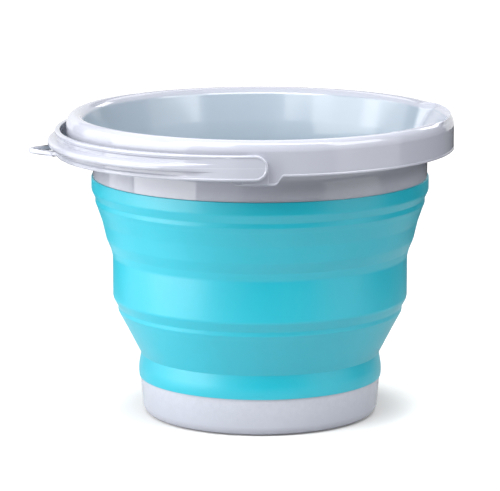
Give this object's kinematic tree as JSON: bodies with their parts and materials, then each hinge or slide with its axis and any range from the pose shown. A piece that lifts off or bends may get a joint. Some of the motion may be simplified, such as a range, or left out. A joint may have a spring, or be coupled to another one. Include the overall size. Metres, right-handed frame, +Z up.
{
  "type": "collapsible camp bucket",
  "caption": "Round folding bucket: stiff plastic rim with pouring lip and swinging bail handle, soft wall that folds down in two stages, flat plastic base.",
  "frame": {"origin": "centre of the underside, on the surface it stands on", "axes": "+Z up along the bucket's axis, +X towards the pouring spout, the handle lies folded towards -X and its pivots are at -Y and +Y"},
  "size_m": [0.3522, 0.3392, 0.252],
  "materials": {
    "base_plastic": "moulded polypropylene, satin gloss",
    "rim_plastic": "moulded polypropylene, satin gloss",
    "handle_plastic": "moulded polypropylene, satin gloss",
    "wall_rubber": "moulded thermoplastic rubber, matt with a soft sheen"
  },
  "bodies": {
    "base": {"base": "base_plastic", "lower_band": "wall_rubber", "lower_fold": "wall_rubber"},
    "middle": {"middle_band": "wall_rubber", "upper_fold": "wall_rubber"},
    "rim": {"upper_band": "wall_rubber", "rim": "rim_plastic"},
    "handle": {"handle": "handle_plastic"}
  },
  "joints": [
    {"name": "lower_stage", "type": "slide", "parent": "base", "child": "middle", "axis": [0, 0, -1], "range_m": [0, 0.066], "deforming": ["lower_fold"]},
    {"name": "upper_stage", "type": "slide", "parent": "middle", "child": "rim", "axis": [0, 0, -1], "range_m": [0, 0.07], "deforming": ["upper_fold"]},
    {"name": "handle_swing", "type": "hinge", "parent": "rim", "child": "handle", "pos_m": [0, 0, 0.232], "axis": [0, 1, 0], "range_deg": [0, 182]}
  ]
}
